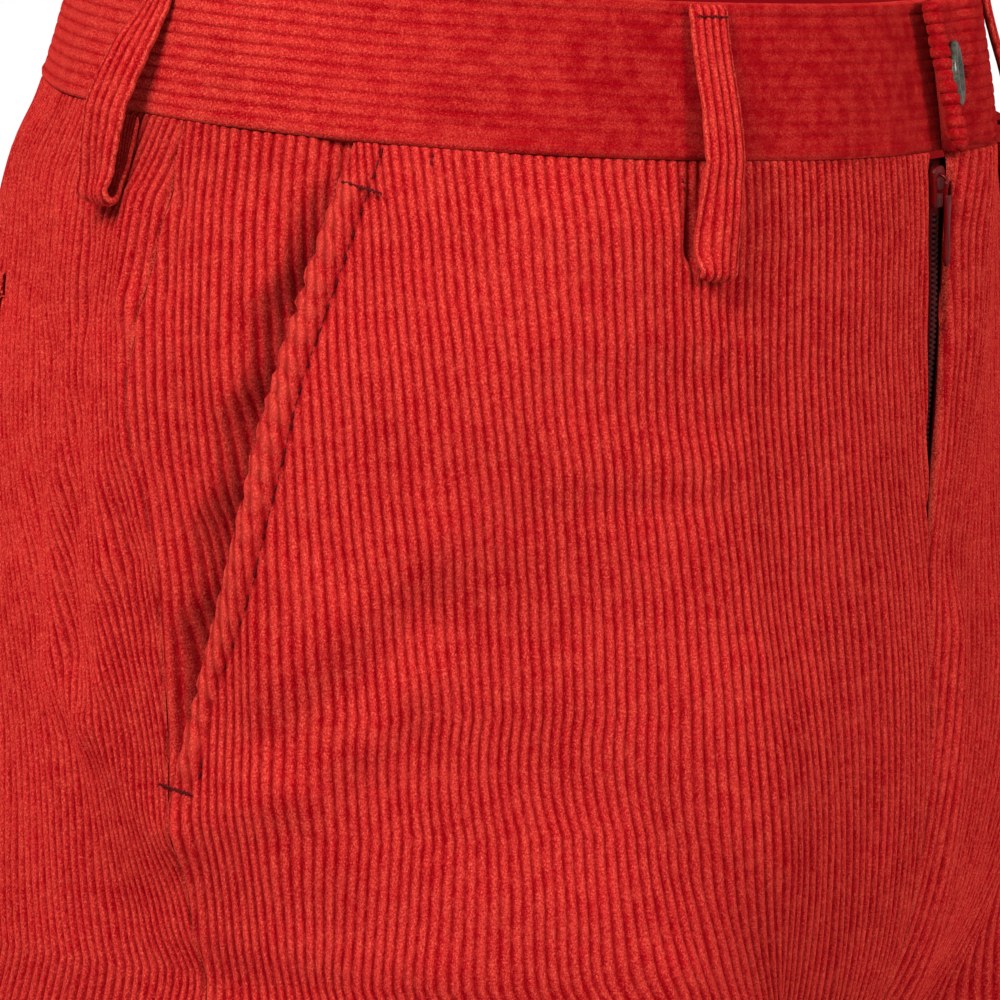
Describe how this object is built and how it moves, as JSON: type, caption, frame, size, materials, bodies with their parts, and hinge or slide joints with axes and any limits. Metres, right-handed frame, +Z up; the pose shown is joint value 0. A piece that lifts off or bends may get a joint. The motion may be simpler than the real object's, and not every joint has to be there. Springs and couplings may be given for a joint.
{
  "type": "corduroy trousers",
  "caption": "Worn-shape corduroy trousers with a slanted front pocket, belt loops, a buttoned waistband tab and a zip fly standing slightly open.",
  "frame": {"origin": "centre of the waist seam, inside the hollow waist, where the wearer's waist holds the garment up", "axes": "+Z up along the body, -Y towards the front with the fly, +X towards the wearer's left"},
  "size_m": [0.351, 0.2599, 1.0466],
  "materials": {
    "red_corduroy": "ribbed velvet pile",
    "zip_tape": "matt woven tape",
    "zip_teeth": "dark painted teeth",
    "red_enamel": "glossy enamel",
    "horn": "polished grey-olive horn look",
    "thread": "sewing thread"
  },
  "bodies": {
    "garment": {"front_right": "red_corduroy", "front_left": "red_corduroy", "back_right": "red_corduroy", "back_left": "red_corduroy", "side_facing_right": "red_corduroy", "side_facing_left": "red_corduroy", "waistband_right": "red_corduroy", "waistband_left": "red_corduroy", "belt_loop_front_right": "red_corduroy", "belt_loop_front_left": "red_corduroy", "belt_loop_side_right": "red_corduroy", "belt_loop_side_left": "red_corduroy", "belt_loop_back": "red_corduroy", "back_welt_upper_right": "red_corduroy", "back_welt_lower_right": "red_corduroy", "back_welt_upper_left": "red_corduroy", "back_welt_lower_left": "red_corduroy", "zip_tape_right": "zip_tape", "zip_tape_left": "zip_tape", "zip_chain": "zip_teeth", "zip_slider": "red_enamel", "waist_button": "horn", "button_thread": "thread"},
    "pull_tab": {"zip_pull": "red_enamel"}
  },
  "joints": [
    {"name": "zip_pull_swing", "type": "hinge", "parent": "garment", "child": "pull_tab", "pos_m": [0.002, -0.123, -0.018], "axis": [-1, 0, 0], "range_deg": [0, 130]}
  ]
}
